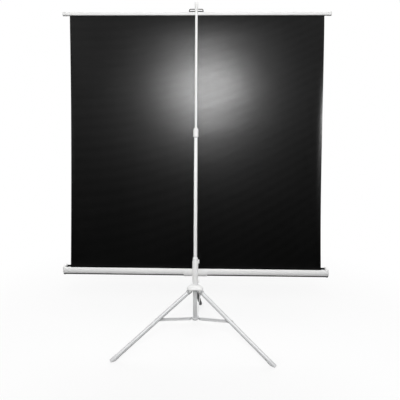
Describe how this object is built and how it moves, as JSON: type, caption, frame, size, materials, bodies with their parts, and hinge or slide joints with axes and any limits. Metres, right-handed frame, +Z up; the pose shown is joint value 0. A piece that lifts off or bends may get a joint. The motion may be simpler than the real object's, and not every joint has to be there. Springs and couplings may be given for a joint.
{
  "type": "tripod projection screen",
  "caption": "Pull-up projection screen: a sheet drawn from a roller case and hooked on a telescopic mast that stands on a folding tripod.",
  "frame": {"origin": "on the floor, under the middle of the bounding box", "axes": "+Z up along the mast, +X along the case, +Y towards the picture side"},
  "size_m": [1.8994, 0.929, 2.377],
  "materials": {
    "white_coat": "satin white powder coat",
    "white_profile": "white coated extrusion",
    "grey_coat": "satin light grey coat",
    "white_plastic": "fine moulded texture",
    "pale_plastic": "fine moulded texture",
    "grey_plastic": "fine moulded texture",
    "steel": "plain",
    "dark_steel": "dark wire",
    "black_coat": "matte black coat",
    "black_cloth": "black coated back, matte white picture side",
    "black_plastic": "matte"
  },
  "bodies": {
    "stand": {"base_tube": "grey_coat", "base_plug": "black_plastic", "leg_hub": "white_plastic", "leg_pin_left": "steel", "leg_pin_right": "steel", "leg_pin_rear": "steel", "mast_lower_tube": "white_coat", "lock_ferrule": "grey_plastic", "lock_collet": "grey_plastic"},
    "leg_left": {"leg_tube_left": "grey_coat", "leg_eye_left": "grey_plastic", "foot_left": "pale_plastic"},
    "leg_right": {"leg_tube_right": "grey_coat", "leg_eye_right": "grey_plastic", "foot_right": "pale_plastic"},
    "leg_rear": {"leg_tube_rear": "black_coat", "leg_eye_rear": "grey_plastic", "foot_rear": "black_plastic"},
    "collar": {"brace_collar": "pale_plastic", "collar_pin_left": "steel", "collar_pin_right": "steel", "collar_pin_rear": "steel"},
    "strut_left": {"brace_left": "grey_coat", "brace_rivet_left": "steel"},
    "strut_right": {"brace_right": "grey_coat", "brace_rivet_right": "steel"},
    "strut_rear": {"brace_rear": "grey_coat", "brace_rivet_rear": "steel"},
    "lock": {"twist_lock": "white_plastic"},
    "carrier": {"case_carrier": "white_plastic"},
    "button": {"release_button": "white_plastic"},
    "knob": {"clamp_knob": "white_plastic"},
    "mast_top": {"mast_top_tube": "white_coat", "mast_slide_bush": "grey_plastic", "hook_cap": "white_plastic"},
    "case": {"case_wall_back": "white_profile", "case_wall_front": "white_profile", "case_belly": "white_profile", "end_cap_left": "white_plastic", "end_cap_right": "white_plastic", "case_saddle": "white_plastic", "swivel_washer": "steel", "swivel_pin": "steel", "spring_mandrel": "steel", "screen_sheet": "black_cloth"},
    "roller": {"roller_tube": "steel", "wound_sheet": "black_cloth", "roller_plug_left": "grey_plastic", "roller_plug_right": "grey_plastic", "roller_spring": "dark_steel"},
    "slat": {"slat_bar": "white_profile", "slat_cap_left": "white_plastic", "slat_cap_right": "white_plastic", "loop_plate": "dark_steel", "hanger_loop": "dark_steel"}
  },
  "joints": [
    {"name": "leg_left_fold", "type": "hinge", "parent": "stand", "child": "leg_left", "pos_m": [-0.03209, -0.16218, 0.358], "axis": [0.471, -0.8821, 0], "range_deg": [0, 51.2]},
    {"name": "leg_right_fold", "type": "hinge", "parent": "stand", "child": "leg_right", "pos_m": [0.03752, -0.16388, 0.358], "axis": [0.5135, 0.8581, 0], "range_deg": [0, 51.2]},
    {"name": "leg_rear_fold", "type": "hinge", "parent": "stand", "child": "leg_rear", "pos_m": [0.00502, -0.10338, 0.358], "axis": [-0.999, 0.0454, 0], "range_deg": [0, 51.2]},
    {"name": "collar_slide", "type": "slide", "parent": "stand", "child": "collar", "axis": [0, 0, 1], "range_m": [0, 0.1709]},
    {"name": "brace_left_swing", "type": "hinge", "parent": "collar", "child": "strut_left", "pos_m": [-0.02415, -0.15794, 0.152], "axis": [0.471, -0.8821, 0], "range_deg": [0, 91.56]},
    {"name": "brace_right_swing", "type": "hinge", "parent": "collar", "child": "strut_right", "pos_m": [0.0298, -0.15926, 0.152], "axis": [0.5135, 0.8581, 0], "range_deg": [0, 91.56]},
    {"name": "brace_rear_swing", "type": "hinge", "parent": "collar", "child": "strut_rear", "pos_m": [0.00461, -0.11237, 0.152], "axis": [-0.999, 0.0454, 0], "range_deg": [0, 91.56]},
    {"name": "lock_twist", "type": "hinge", "parent": "stand", "child": "lock", "pos_m": [0.0032, -0.14334, 1.47], "axis": [0, 0, 1], "range_deg": [0, 90]},
    {"name": "case_lift", "type": "slide", "parent": "stand", "child": "carrier", "axis": [0, 0, 1], "range_m": [0, 0.4]},
    {"name": "button_press", "type": "slide", "parent": "carrier", "child": "button", "axis": [-1, 0, 0], "range_m": [0, 0.0033], "stiffness_N_per_m": 800},
    {"name": "knob_turn", "type": "hinge", "parent": "carrier", "child": "knob", "pos_m": [0.0282, -0.14334, 0.42], "axis": [1, 0, 0], "range_deg": [0, 180]},
    {"name": "mast_extension", "type": "slide", "parent": "carrier", "child": "mast_top", "axis": [0, 0, 1], "range_m": [-0.69, 0]},
    {"name": "case_swivel", "type": "hinge", "parent": "carrier", "child": "case", "pos_m": [0.0032, -0.11934, 0.471], "axis": [0, 1, 0], "range_deg": [-1, 1]},
    {"name": "roller_wind", "type": "hinge", "parent": "case", "child": "roller", "pos_m": [0.0032, -0.07434, 0.474], "axis": [1, 0, 0], "range_deg": [0, 2400]},
    {"name": "slat_drop", "type": "slide", "parent": "case", "child": "slat", "axis": [0, 0, 1], "range_m": [-0.69, 0], "deforming": ["screen_sheet"]}
  ],
  "couplings": [
    {"joint": "leg_right_fold", "follows": "leg_left_fold", "ratio": 1},
    {"joint": "leg_rear_fold", "follows": "leg_left_fold", "ratio": 1},
    {"joint": "collar_slide", "follows": "leg_left_fold", "m_per_rad": 0.19125},
    {"joint": "brace_left_swing", "follows": "leg_left_fold", "ratio": 1.7883},
    {"joint": "brace_right_swing", "follows": "leg_left_fold", "ratio": 1.7883},
    {"joint": "brace_rear_swing", "follows": "leg_left_fold", "ratio": 1.7883},
    {"joint": "slat_drop", "follows": "mast_extension", "ratio": 1},
    {"joint": "roller_wind", "follows": "mast_extension", "rad_per_m": -58.824}
  ]
}
